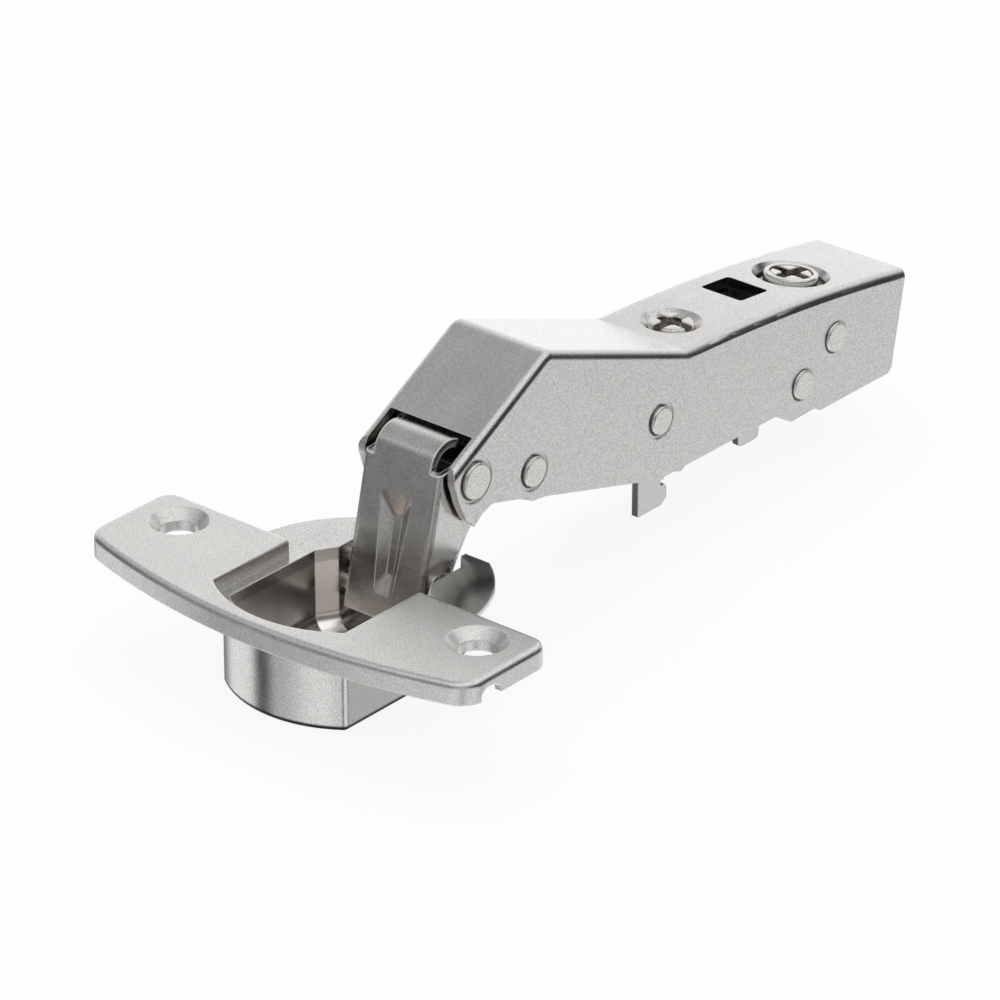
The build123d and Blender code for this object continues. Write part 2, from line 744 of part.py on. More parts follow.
with BuildPart() as clip_channel:
    with BuildSketch(Plane.XZ):
        with BuildLine():
            Polyline(
                (clip_front, clip_line(clip_web_front)),
                (clip_web_front, clip_line(clip_web_front)),
                (clip_rear, clip_line(clip_rear)),
                (clip_rear - 1.5, clip_foot[1][1] + 0.9),
                *clip_foot,
                (clip_front, clip_foot[0][1] + hook_root),
                close=True,
            )
        make_face()
        with BuildLine():
            Polyline(*hook_outline, close=True)
        make_face()
        with Locations(hook_notch):
            Rectangle(1.0, 0.8, mode=Mode.SUBTRACT)
        with Locations(tab_centre):
            RectangleRounded(tab_width, tab_height, 0.9)
    extrude(amount=clip_half, both=True)
    with BuildSketch(Plane.XZ):
        with BuildLine():
            Polyline(
                (clip_front - 5, clip_line(clip_web_front) + 5),
                (clip_web_front, clip_line(clip_web_front) + 5),
                (clip_web_front, clip_line(clip_web_front) - clip_sheet),
                (clip_rear + 5, clip_line(clip_rear + 5) - clip_sheet),
                (clip_rear + 5, -20),
                (clip_front - 5, -20),
                close=True,
            )
        make_face()
    extrude(amount=clip_inner, both=True, mode=Mode.SUBTRACT)
    with BuildSketch(rear_plane((slot_x[0] + slot_x[1]) / 2, 9)):
        with Locations((0, (slot_y[0] + slot_y[1]) / 2)):
            Rectangle(slot_x[1] - slot_x[0], slot_y[1] - slot_y[0])
    extrude(amount=7, mode=Mode.SUBTRACT)
    with BuildSketch(rear_plane(side_screw_x, 9)):
        SlotCenterToCenter(2 * slide_range + 0.4, 2 * (side_neck_radius + 0.2))
    extrude(amount=7, mode=Mode.SUBTRACT)
    with BuildSketch(rear_plane(depth_screw_x, 9)):
        Circle(depth_stem_radius + 0.4)
    extrude(amount=7, mode=Mode.SUBTRACT)
    with BuildSketch(Plane.XZ):
        for place in (pin_g, pin_e, pin_f):
            with Locations(place):
                SlotCenterToCenter(2 * slide_range + 0.6, 2 * (pin_shank + pin_slot_clearance))
    extrude(amount=clip_half + 1, both=True, mode=Mode.SUBTRACT)
clip_channel.part.label = "clip_channel"
export_step(clip_channel.part, "parts/clip_channel.step")


# ADJUSTING SCREWS

def castle_head(radius, height):
    """Screw head with a wide cross slot, built upwards from the origin."""
    with BuildPart(mode=Mode.PRIVATE) as head:
        Cylinder(radius, height, align=(Align.CENTER, Align.CENTER, Align.MIN))
        fillet(head.faces().sort_by(Axis.Z)[-1].edges(), 0.35)
        with Locations((0, 0, height)):
            for turn in (0, 90):
                Box(2 * radius + 1, head_slot, 2 * head_slot_depth, rotation=(0, 0, turn), mode=Mode.SUBTRACT)
            Cylinder(radius * 0.46, 2 * head_slot_depth + 0.5, mode=Mode.SUBTRACT)
    return head.part


with BuildPart() as side_screw:
    add(rear_plane(side_screw_x, side_head_depth).location * castle_head(side_screw_head, side_head_depth - 0.1))
    with BuildSketch(rear_plane(side_screw_x, side_head_depth)):
        Circle(side_screw_head - 0.35)
    extrude(amount=-0.6)
    with BuildSketch(rear_plane(side_screw_x, side_head_depth + 0.6)):
        Circle(side_neck_radius)
    extrude(amount=-side_neck_length)
    with BuildSketch(rear_plane(side_screw_x, side_head_depth + 0.6 + side_neck_length)):
        Circle(side_foot_radius)
    extrude(amount=-1.0)
side_screw.part.label = "side_screw"
export_step(side_screw.part, "parts/side_screw.step")

depth_head_height = depth_slide_drop - depth_slide_thickness + collar_proud - 0.1

with BuildPart() as depth_screw:
    add(
        rear_plane(depth_screw_x, depth_slide_drop - depth_slide_thickness).location
        * castle_head(depth_screw_head, depth_head_height)
    )
    with BuildSketch(rear_plane(depth_screw_x, depth_slide_drop - depth_slide_thickness)):
        Circle(depth_stem_radius)
    extrude(amount=-depth_stem_length)
depth_screw.part.label = "depth_screw"
export_step(depth_screw.part, "parts/depth_screw.step")

with BuildPart() as depth_slide:
    with BuildSketch(rear_plane(depth_screw_x, depth_slide_drop)):
        RectangleRounded(depth_slide_length, 2 * (clip_inner + clip_sheet - 0.3), 1.0)
        Circle(depth_stem_radius + fit, mode=Mode.SUBTRACT)
    extrude(amount=depth_slide_thickness)
depth_slide.part.label = "depth_slide"
export_step(depth_slide.part, "parts/depth_slide.step")

with BuildPart() as depth_collar:
    with BuildSketch(rear_plane(depth_screw_x, depth_slide_drop - depth_slide_thickness)):
        Circle(collar_radius)
        Circle(depth_screw_head + fit, mode=Mode.SUBTRACT)
    extrude(amount=depth_slide_drop - depth_slide_thickness + collar_proud)
    fillet(depth_collar.edges().filter_by(GeomType.CIRCLE).group_by(Axis.Z)[-1].sort_by(SortBy.LENGTH)[-1], 0.3)
    with BuildSketch(rear_plane(depth_screw_x, depth_slide_drop - depth_slide_thickness)):
        Circle(depth_hole - 0.5 * arm_sheet - 0.35)
        Circle(collar_radius, mode=Mode.SUBTRACT)
    extrude(amount=washer_height)
depth_collar.part.label = "depth_collar"
export_step(depth_collar.part, "parts/depth_collar.step")


# RELEASE LEVER, on the lower rear pin

with BuildPart() as release_lever:
    with BuildSketch(Plane.XZ):
        with BuildLine():
            Polyline(
                (pin_f[0] - 3.0, pin_f[1] - 1.0),
                (pin_f[0] - 3.4, pin_f[1] - lever_foot + 0.3),
                (pin_f[0] + 0.2, pin_f[1] - lever_foot),
                (pin_f[0] + 1.6, pin_f[1] - lever_heel),
                (lever_rear, pin_f[1] - lever_heel + 0.4),
                (lever_rear + 0.8, pin_f[1] - 0.6),
                (pin_f[0] + 2.0, pin_f[1] + lever_brow),
                (pin_f[0] - 2.0, pin_f[1] + lever_brow),
                close=True,
            )
        make_face()
    extrude(amount=clip_inner - 0.3, both=True)
    with BuildSketch(Plane.XZ):
        with BuildLine():
            Polyline(
                (pin_f[0] - 9, pin_f[1] - 9),
                (lever_rear - 1.2, pin_f[1] - 9),
                (lever_rear - 1.2, pin_f[1] + 5),
                (pin_f[0] - 9, pin_f[1] + 5),
                close=True,
            )
        make_face()
    extrude(amount=clip_inner - 0.3 - clip_sheet, both=True, mode=Mode.SUBTRACT)
    with BuildSketch(Plane.XZ):
        with Locations(pin_f):
            Circle(pin_shank + fit)
    extrude(amount=clip_half, both=True, mode=Mode.SUBTRACT)
release_lever.part.label = "release_lever"
export_step(release_lever.part, "parts/release_lever.step")


# SPRINGS, wound on their pins

def coil(place, radius, wire, turns, first_leg, second_leg):
    """Torsion spring round a pin of the arm, with two straight legs."""
    pitch = wire * 2 * 1.12
    height = pitch * turns
    with BuildPart(mode=Mode.PRIVATE) as spring:
        with BuildLine():
            Helix(pitch, height, radius)
        with BuildSketch(Plane(origin=(radius, 0, 0), z_dir=(0, 1, pitch / (6.2832 * radius)))):
            RegularPolygon(wire, 8)
        sweep(is_frenet=True)
        with BuildSketch(Plane(origin=(radius, 0, 0), z_dir=(0, -1, 0))):
            RegularPolygon(wire, 8)
        extrude(amount=first_leg)
        angle = radians(360 * turns)
        tip = (radius * cos(angle), radius * sin(angle), height)
        with BuildSketch(Plane(origin=tip, z_dir=(-sin(angle), cos(angle), 0))):
            RegularPolygon(wire, 8)
        extrude(amount=second_leg)
    seat = Plane(origin=(place[0], height / 2, place[1]), x_dir=(1, 0, 0), z_dir=(0, -1, 0))
    return seat, spring.part


with BuildPart() as closing_spring:
    seat, wound = coil(pin_b, closing_coil_radius, closing_wire, closing_turns, *closing_legs)
    add(seat.location * wound)
closing_spring.part.label = "closing_spring"
export_step(closing_spring.part, "parts/closing_spring.step")

with BuildPart() as lever_spring:
    seat, wound = coil(pin_f, lever_coil_radius, lever_wire, lever_turns, *lever_legs)
    add(seat.location * wound)
lever_spring.part.label = "lever_spring"
export_step(lever_spring.part, "parts/lever_spring.step")
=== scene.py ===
"""Concealed cup hinge: nickel finishes, screw heads, springs, studio and camera.

Everything is in metres, in the frame of the hinge: X along the arm, Y across it, Z up out of
the cup, with the origin at the middle of the cup on the door's face.
"""

import json
import math

import bmesh
import bpy
from bpy.props import FloatProperty, FloatVectorProperty, IntProperty, PointerProperty
from bpy.types import Operator, Panel, PropertyGroup
from mathutils import Matrix, Vector


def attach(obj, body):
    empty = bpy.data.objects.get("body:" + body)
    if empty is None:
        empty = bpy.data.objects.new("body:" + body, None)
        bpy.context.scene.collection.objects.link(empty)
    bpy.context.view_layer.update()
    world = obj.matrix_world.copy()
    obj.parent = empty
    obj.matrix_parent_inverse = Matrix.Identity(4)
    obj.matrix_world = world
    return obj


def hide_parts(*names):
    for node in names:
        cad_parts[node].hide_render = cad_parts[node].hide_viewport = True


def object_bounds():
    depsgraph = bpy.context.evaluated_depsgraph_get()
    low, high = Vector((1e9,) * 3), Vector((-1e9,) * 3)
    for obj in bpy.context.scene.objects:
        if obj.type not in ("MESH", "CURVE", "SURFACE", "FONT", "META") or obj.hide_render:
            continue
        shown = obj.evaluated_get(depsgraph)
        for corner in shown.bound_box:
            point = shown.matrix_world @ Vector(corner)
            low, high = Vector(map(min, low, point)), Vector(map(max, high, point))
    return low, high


bl_info = {
    "name": "Concealed Cup Hinge",
    "version": (1, 0, 0),
    "blender": (4, 5, 0),
    "location": "3D View > Sidebar > Hinge",
    "description": "Finishes a concealed cup hinge in satin nickel and sets up its studio",
    "category": "Add Mesh",
}

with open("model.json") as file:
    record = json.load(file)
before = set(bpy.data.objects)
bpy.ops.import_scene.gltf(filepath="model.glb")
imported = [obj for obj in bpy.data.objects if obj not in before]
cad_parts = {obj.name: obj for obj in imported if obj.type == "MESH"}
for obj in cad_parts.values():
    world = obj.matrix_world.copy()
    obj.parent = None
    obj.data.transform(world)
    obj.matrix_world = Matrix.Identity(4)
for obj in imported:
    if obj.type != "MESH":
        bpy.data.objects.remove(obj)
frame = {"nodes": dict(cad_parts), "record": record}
CAD_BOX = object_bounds()

# Places on the hinge

# Rivets through the arm: place in the XZ plane and radius of the head
RIVETS = (
    (0.0150, 0.0124, 0.0026),
    (0.0269, 0.0092, 0.0022),
    (0.0538, 0.0066, 0.0021),
    (0.0929, 0.0049, 0.0022),
    (0.0855, 0.0002, 0.0022),
)

# Springs: CAD node, prefix of its settings, rivet in its coil, lengths of the two legs
SPRINGS = (
    ("closing_spring", "closing", RIVETS[1], 0.0055, 0.0029),
    ("lever_spring", "lever", RIVETS[4], 0.0036, 0.0050),
)
COIL_PITCH = 1.12  # in diameters of the wire

# Screws: CAD node, joint, body, radius of the lobes and height of their foot over the joint
SCREWS = (
    ("side_screw", "side_screw_turn", "side_adjuster", 0.00325, -0.0001),
    ("depth_screw", "depth_screw_turn", "depth_adjuster", 0.0031, 0.0002),
)
LOBE_RISE = 0.00006
LOBE_SINK = 0.00012
LOBE_BEVEL = 0.00006
LOBE_STEPS = 10  # along each arc
LOBE_INNER = 0.47  # inner radius, as a share of the outer
LOBE_INSET = 0.0003  # of the outer arc

CUP_RIM = -0.0012  # height below which the inside of the cup begins
CUP_FLOOR = -0.0121  # height of its floor
FACET_SIDE = -0.0108  # Y of the near facet

# Finishes

# Platings: colour setting, gains of its colour and its roughness, clouding, gain of the edge rounding,
# strength of the painted edge highlight
PLATINGS = {
    "cup_nickel": ("plate_colour", 1.12, 1.4, 0.04, 1.0, 0.55),
    "drawn_nickel": ("plate_colour", 1.0, 0.75, 0.05, 1.0, 0.55),
    "curled_nickel": ("link_colour", 1.0, 0.9, 0.16, 1.7, 0.95),
    "arm_nickel": ("plate_colour", 1.0, 1.1, 0.05, 1.0, 0.55),
    "cheek_nickel": ("plate_colour", 1.0, 1.1, 0.05, 0.6, 0.7),
    "pin_nickel": ("pin_colour", 1.0, 1.0, 0.03, 1.0, 0.55),
    "collar_nickel": ("pin_colour", 1.0, 0.8, 0.03, 1.0, 0.55),
    "side_screw_nickel": ("pin_colour", 1.0, 0.8, 0.03, 1.0, 0.55),
    "depth_screw_nickel": ("pin_colour", 1.0, 0.8, 0.03, 1.0, 0.55),
}
WIRE_ROUGHNESS = 0.35
WIRE_CLOUDING = 0.05
HIGHLIGHT_COSINES = (0.985, 0.92)  # between which the painted edge highlight grows
RIVET_SHADOW = {"Width": 0.0003, "Strength": 0.95}
RIVET_SHADOW_COLOUR = (0.02, 0.02, 0.018, 1.0)
RIVET_SHADOW_GAP = 0.0001  # from a rivet's head to the middle of its painted shadow line

# Painted shade on the near facet, a warm tint on the cup's inner walls, painted shade along the cup's floor,
# and brown painted shade in the screws' slots
FACET_SHADE = {
    "Film": (0.28, 0.28, 0.27, 1.0),
    "Origin": (0.0, FACET_SIDE, 0.0),
    "Axis": (0.0, 1.0, 0.0),
    "Top": 0.0001,
    "Bottom": 0.00002,
    "Ceiling": CUP_RIM,
}
BOWL_TINT = {"Film": (0.95, 0.91, 0.87, 1.0)}
# Painted shade, near black, along the cup's floor
CUP_FLOOR_SHADE = {
    "Film": (0.02, 0.02, 0.02, 1.0),
    "Origin": (0.0, 0.0, CUP_FLOOR),
    "Top": 0.0009,
    "Bottom": 0.0005,
}
SLOT_SHADE = {"Top": -0.0005, "Bottom": -0.0012}

# Studio

# Soft flags that only reflections see: direction, inner and outer angle in degrees, level
SKY_FLAGS = (
    ((0.80, 0.60, 0.12), 34, 62, 0.97),
    ((-0.02, 0.50, 0.86), 14, 46, 0.46),
    ((-0.85, 0.45, 0.05), 20, 44, 0.30),
    ((0.81, 0.57, -0.08), 6, 24, 1.30),
    ((0.30, 0.20, -0.93), 14, 34, 0.05),
    ((0.45, 0.77, -0.45), 8, 26, 0.25),
    ((-0.62, 0.64, -0.45), 3, 12, 0.02),
    ((-0.62, -0.64, -0.45), 8, 16, 0.10),
    ((-0.75, -0.66, -0.05), 14, 34, 0.55),
    ((0.48, -0.82, -0.27), 9, 17, 0.03),
)

# Dark rim of the studio: lowest, full, fading and highest sine of its elevation, and its level
RIM = (-0.40, -0.24, 0.36, 0.62, 0.03)

FLOOR_GAP = 0.00002  # below the cup
FLOOR_COLOUR = (0.9, 0.9, 0.9, 1.0)
SOFT_LIGHT = 0.75  # strength of the surroundings where they aren't seen directly
LAMP_SIZE = 0.6
LAMP_PLACE = Vector((0.25, 0.25, 0.7))
LAMP_TARGET = Vector((0.05, 0, 0))
SHADE_ENDS = (0.02, 0.106)  # along the arm
SHADE_HALF = 0.0085  # half of its width
SHADE_HEIGHT = 0.0002  # above the floor
SHADE_COLOUR = (0.12, 0.12, 0.12, 1.0)
CAMERA_BACK = Vector((-0.6806, -0.5743, 0.4549)).normalized()  # from the target to the camera
CAMERA_TARGET = Vector((0.03135, 0.00131, 0.0))
CAMERA_DISTANCE = 0.8235
CAMERA_LENS = 219.85

WHITE = (1.0, 1.0, 1.0, 1.0)
PALE = (0.8, 0.8, 0.8, 1.0)
COLOUR, VALUE, VECTOR = "NodeSocketColor", "NodeSocketFloat", "NodeSocketVector"

# Settings


def colour_setting(name, description, default):
    """Setting for a colour."""
    return FloatVectorProperty(name=name, description=description, subtype="COLOR", size=3,
                               min=0.0, max=1.0, default=default)


def length_setting(name, description, default, low, high, precision=2):
    """Setting for a length in metres."""
    return FloatProperty(name=name, description=description, subtype="DISTANCE", unit="LENGTH",
                         min=low, max=high, default=default, precision=precision)


class HingeFinish(PropertyGroup):
    """Colours and grain of the nickel plating."""

    plate_colour: colour_setting(
        "Plate Colour", "Colour of the nickel on the cup, the wing cover and the arm", (0.67, 0.66, 0.645))
    link_colour: colour_setting(
        "Link Colour", "Colour of the nickel on the two links", (0.62, 0.61, 0.595))
    pin_colour: colour_setting(
        "Pin Colour", "Colour of the riveted pins", (0.70, 0.69, 0.67))
    spring_colour: colour_setting(
        "Spring Colour", "Colour of the oiled spring wire", (0.30, 0.30, 0.31))
    roughness: FloatProperty(
        name="Roughness",
        description="Mean roughness of the satin nickel",
        min=0.05,
        max=0.9,
        default=0.26,
    )
    grain_size: length_setting(
        "Grain Size", "Size of the fine speckle in the plating", 0.00017, 0.00002, 0.002)
    grain_depth: FloatProperty(
        name="Grain Depth",
        description="Depth of the fine speckle",
        min=0.0,
        max=1.0,
        default=0.10,
    )
    edge_round: length_setting(
        "Edge Rounding", "Radius over which sheared edges catch the light", 0.00026, 0.0, 0.001)


class HingeDetail(PropertyGroup):
    """Sizes of the wound springs and of the lobes on the screw heads."""

    closing_coil: length_setting(
        "Closing Coil Radius", "Mean radius of the closing spring's coil", 0.00245, 0.001, 0.004, 5)
    closing_wire: length_setting(
        "Closing Wire Radius", "Radius of the closing spring's wire", 0.00042, 0.0001, 0.001, 5)
    closing_turns: FloatProperty(
        name="Closing Turns",
        description="Number of turns of the closing spring",
        min=1.0,
        max=12.0,
        default=6.25,
    )
    lever_coil: length_setting(
        "Lever Coil Radius", "Mean radius of the coil of the lever's spring", 0.0021, 0.001, 0.004, 5)
    lever_wire: length_setting(
        "Lever Wire Radius", "Radius of the wire of the lever's spring", 0.00032, 0.0001, 0.001, 5)
    lever_turns: FloatProperty(
        name="Lever Turns",
        description="Number of turns of the lever's spring",
        min=1.0,
        max=12.0,
        default=4.5,
    )
    lobe_count: IntProperty(
        name="Lobes",
        description="Number of lobes round the head of each adjusting screw",
        min=3,
        max=8,
        default=4,
    )
    slot_width: length_setting(
        "Slot Width", "Width of the slots between the lobes", 0.0016, 0.0005, 0.003, 5)


class HingeStudio(PropertyGroup):
    """Floor and lamp of the studio."""

    floor_size: length_setting("Floor Size", "Length of each side of the floor", 6.0, 0.5, 20.0)
    shadow: FloatProperty(
        name="Floor Shadow",
        description="How strongly the floor shows the shadow of the hinge",
        subtype="FACTOR",
        min=0.0,
        max=1.0,
        default=0.10,
    )
    lamp_power: FloatProperty(
        name="Lamp Power",
        description="Power of the large soft lamp",
        subtype="POWER",
        min=0.0,
        max=50.0,
        default=2.0,
    )


# Building blocks for node trees


def socket(tree, name, kind, way, default=None):
    """Adds a named input or output to a node group."""
    item = tree.interface.new_socket(name=name, in_out=way, socket_type=kind)
    if default is not None:
        item.default_value = default


def begin(name, inputs, outputs):
    """Starts a shader group and returns it with the sockets it reads and the sockets it fills."""
    tree = bpy.data.node_groups.new(name, "ShaderNodeTree")
    for label, kind, default in inputs:
        socket(tree, label, kind, "INPUT", default)
    for label, kind in outputs:
        socket(tree, label, kind, "OUTPUT")
    return tree, tree.nodes.new("NodeGroupInput").outputs, tree.nodes.new("NodeGroupOutput").inputs


def put(tree, target, value):
    """Links a socket into a target, or sets a plain value on it."""
    if isinstance(value, bpy.types.NodeSocket):
        tree.links.new(value, target)
    elif value is not None:
        target.default_value = value


def maths(tree, kind, *values):
    """Adds a maths node and returns its result."""
    node = tree.nodes.new("ShaderNodeMath")
    node.operation = kind
    for slot, value in enumerate(values):
        put(tree, node.inputs[slot], value)
    return node.outputs[0]


def vectors(tree, kind, *values):
    """Adds a vector maths node and returns its result, a number for a dot product or a length."""
    node = tree.nodes.new("ShaderNodeVectorMath")
    node.operation = kind
    for slot, value in enumerate(values):
        put(tree, node.inputs[slot], value)
    return node.outputs["Value" if kind in ("DOT_PRODUCT", "LENGTH") else "Vector"]


def split(tree, vector):
    """Returns the X, Y and Z of a vector."""
    node = tree.nodes.new("ShaderNodeSeparateXYZ")
    tree.links.new(vector, node.inputs[0])
    return node.outputs


def noise(tree, place, scale, detail):
    """Adds a noise texture and returns its value."""
    node = tree.nodes.new("ShaderNodeTexNoise")
    for slot, value in (("Vector", place), ("Scale", scale), ("Detail", detail)):
        put(tree, node.inputs[slot], value)
    return node.outputs["Fac"]


def ramp(tree, value, start, end, low=0.0, high=1.0, smooth=False):
    """Maps a value from one range to another, clamped, and returns the result."""
    node = tree.nodes.new("ShaderNodeMapRange")
    if smooth:
        node.interpolation_type = "SMOOTHSTEP"
    ends = (("From Min", start), ("From Max", end), ("To Min", low), ("To Max", high))
    for slot, item in (("Value", value), *ends):
        put(tree, node.inputs[slot], item)
    return node.outputs["Result"]


def mingle(tree, share, first, second):
    """Mixes two levels by a share, where each is a socket or a plain number."""
    node = tree.nodes.new("ShaderNodeMix")
    node.data_type = "FLOAT"
    for slot, value in ((0, share), (2, first), (3, second)):
        put(tree, node.inputs[slot], value)
    return node.outputs[0]


def tint(tree, share, first, second):
    """Mixes two colours by a share, where each is a socket or a plain colour."""
    node = tree.nodes.new("ShaderNodeMix")
    node.data_type = "RGBA"
    for slot, value in ((0, share), (6, first), (7, second)):
        put(tree, node.inputs[slot], value)
    return node.outputs[2]


def coordinates(tree):
    """Returns the object coordinates and the object's own normal."""
    node = tree.nodes.new("ShaderNodeTexCoord")
    return node.outputs["Object"], node.outputs["Normal"]


# Shader groups


def satin_grain():
    """Node group for satin plating: cloudy and speckled colour, cloudy roughness and a fine relief."""
    tree = bpy.data.node_groups.get("Satin Grain")
    if tree:
        return tree
    tree, given, leave = begin(
        "Satin Grain",
        (("Colour", COLOUR, PALE), ("Roughness", VALUE, 0.3), ("Grain Scale", VALUE, 4000.0),
         ("Clouding", VALUE, 0.1)),
        (("Colour", COLOUR), ("Roughness", VALUE), ("Relief", VALUE)),
    )
    place, _ = coordinates(tree)
    grain = noise(tree, place, given["Grain Scale"], 2.0)
    cloud = ramp(tree, noise(tree, place, 140.0, 3.0), 0.3, 0.7, -1.0, 1.0)
    amount = maths(tree, "MULTIPLY", cloud, given["Clouding"])
    speckle = ramp(tree, grain, 0.38, 0.62, 0.82, 1.18)
    scaled = tree.nodes.new("ShaderNodeVectorMath")
    scaled.operation = "SCALE"
    put(tree, scaled.inputs[0], given["Colour"])
    put(tree, scaled.inputs["Scale"], maths(tree, "ADD", speckle, amount))
    put(tree, leave["Colour"], scaled.outputs["Vector"])
    put(tree, leave["Roughness"], maths(tree, "MULTIPLY_ADD", amount, 0.5, given["Roughness"]))
    put(tree, leave["Relief"], grain)
    return tree


def painted_edge_highlight():
    """Node group that finds edges from their rounded normal, and paints a pale, less metallic highlight
    there.
    """
    tree = bpy.data.node_groups.get("Worn Edge")
    if tree:
        return tree
    tree, given, leave = begin(
        "Worn Edge",
        (("Colour", COLOUR, PALE), ("Wear Colour", COLOUR, (0.93, 0.92, 0.90, 1.0)),
         ("Rounded Normal", VECTOR, None), ("Wear", VALUE, 0.6)),
        (("Colour", COLOUR), ("Metallic", VALUE)),
    )
    shape = tree.nodes.new("ShaderNodeNewGeometry")
    turn = vectors(tree, "DOT_PRODUCT", shape.outputs["Normal"], given["Rounded Normal"])
    amount = maths(tree, "MULTIPLY", ramp(tree, turn, *HIGHLIGHT_COSINES), given["Wear"])
    put(tree, leave["Colour"], tint(tree, amount, given["Colour"], given["Wear Colour"]))
    put(tree, leave["Metallic"], maths(tree, "SUBTRACT", 1.0, amount))
    return tree


def drawn_inside():
    """Node group for the inside of the cup: tints the walls that face inwards below the rim towards a warmer,
    darker colour.
    """
    tree = bpy.data.node_groups.get("Drawn Inside")
    if tree:
        return tree
    tree, given, leave = begin(
        "Drawn Inside",
        (("Colour", COLOUR, PALE), ("Film", COLOUR, (0.40, 0.36, 0.32, 1.0)), ("Rim Height", VALUE, CUP_RIM)),
        (("Colour", COLOUR),),
    )
    place, normal = coordinates(tree)
    inwards = vectors(tree, "MULTIPLY", place, (-1.0, -1.0, -1.0))
    inner = ramp(tree, vectors(tree, "DOT_PRODUCT", inwards, normal), 0.0, 0.003)
    below = maths(tree, "LESS_THAN", split(tree, place)["Z"], given["Rim Height"])
    share = maths(tree, "MULTIPLY", inner, below)
    put(tree, leave["Colour"], tint(tree, share, given["Colour"], given["Film"]))
    return tree


def depth_shade():
    """Node group that paints shade in a colour beyond a plane and below a ceiling, deepening with depth."""
    tree = bpy.data.node_groups.get("Depth Film")
    if tree:
        return tree
    tree, given, leave = begin(
        "Depth Film",
        (("Colour", COLOUR, PALE), ("Film", COLOUR, (0.33, 0.28, 0.24, 1.0)), ("Origin", VECTOR, None),
         ("Axis", VECTOR, (0.0, 0.0, 1.0)), ("Top", VALUE, -0.0003), ("Bottom", VALUE, -0.0006),
         ("Ceiling", VALUE, 1.0)),
        (("Colour", COLOUR),),
    )
    place, _ = coordinates(tree)
    height = vectors(tree, "DOT_PRODUCT", vectors(tree, "SUBTRACT", place, given["Origin"]), given["Axis"])
    depth = ramp(tree, height, given["Top"], given["Bottom"], smooth=True)
    under = maths(tree, "LESS_THAN", split(tree, place)["Z"], given["Ceiling"])
    share = maths(tree, "MULTIPLY", depth, under)
    put(tree, leave["Colour"], tint(tree, share, given["Colour"], given["Film"]))
    return tree


def channel_inside_shade():
    """Node group that darkens the inner faces of the folded channel with painted shade."""
    tree = bpy.data.node_groups.get("Folded Inside")
    if tree:
        return tree
    tree, given, leave = begin(
        "Folded Inside",
        (("Colour", COLOUR, PALE), ("Film", COLOUR, (0.20, 0.185, 0.17, 1.0)), ("Half Width", VALUE, 0.0072)),
        (("Colour", COLOUR),),
    )
    place, normal = coordinates(tree)
    within = maths(tree, "LESS_THAN", maths(tree, "ABSOLUTE", split(tree, place)["Y"]), given["Half Width"])
    under = maths(tree, "LESS_THAN", split(tree, normal)["Z"], 0.3)
    share = maths(tree, "MULTIPLY", within, under)
    put(tree, leave["Colour"], tint(tree, share, given["Colour"], given["Film"]))
    return tree


def rivet_shadow_line():
    """Node group that paints a shadow line in the thin gap round a riveted head, darker on one side than the
    other.
    """
    tree = bpy.data.node_groups.get("Seam Line")
    if tree:
        return tree
    tree, given, leave = begin(
        "Seam Line",
        (("Colour", COLOUR, PALE), ("Centre", VECTOR, None), ("Radius", VALUE, 0.002),
         ("Width", VALUE, 0.0002), ("Side", VECTOR, (-0.9, 0.0, -0.3)), ("Strength", VALUE, 0.8)),
        (("Colour", COLOUR),),
    )
    place, _ = coordinates(tree)
    flat = vectors(tree, "MULTIPLY", vectors(tree, "SUBTRACT", place, given["Centre"]), (1.0, 0.0, 1.0))
    gap = maths(tree, "ABSOLUTE", maths(tree, "SUBTRACT", vectors(tree, "LENGTH", flat), given["Radius"]))
    line = ramp(tree, gap, given["Width"], 0.0, smooth=True)
    lean = vectors(tree, "DOT_PRODUCT", vectors(tree, "NORMALIZE", flat), given["Side"])
    sided = maths(tree, "MULTIPLY", line, ramp(tree, lean, -0.6, 0.6, 0.5, 1.0))
    amount = maths(tree, "MULTIPLY", sided, given["Strength"])
    put(tree, leave["Colour"], tint(tree, amount, given["Colour"], RIVET_SHADOW_COLOUR))
    return tree


# Materials


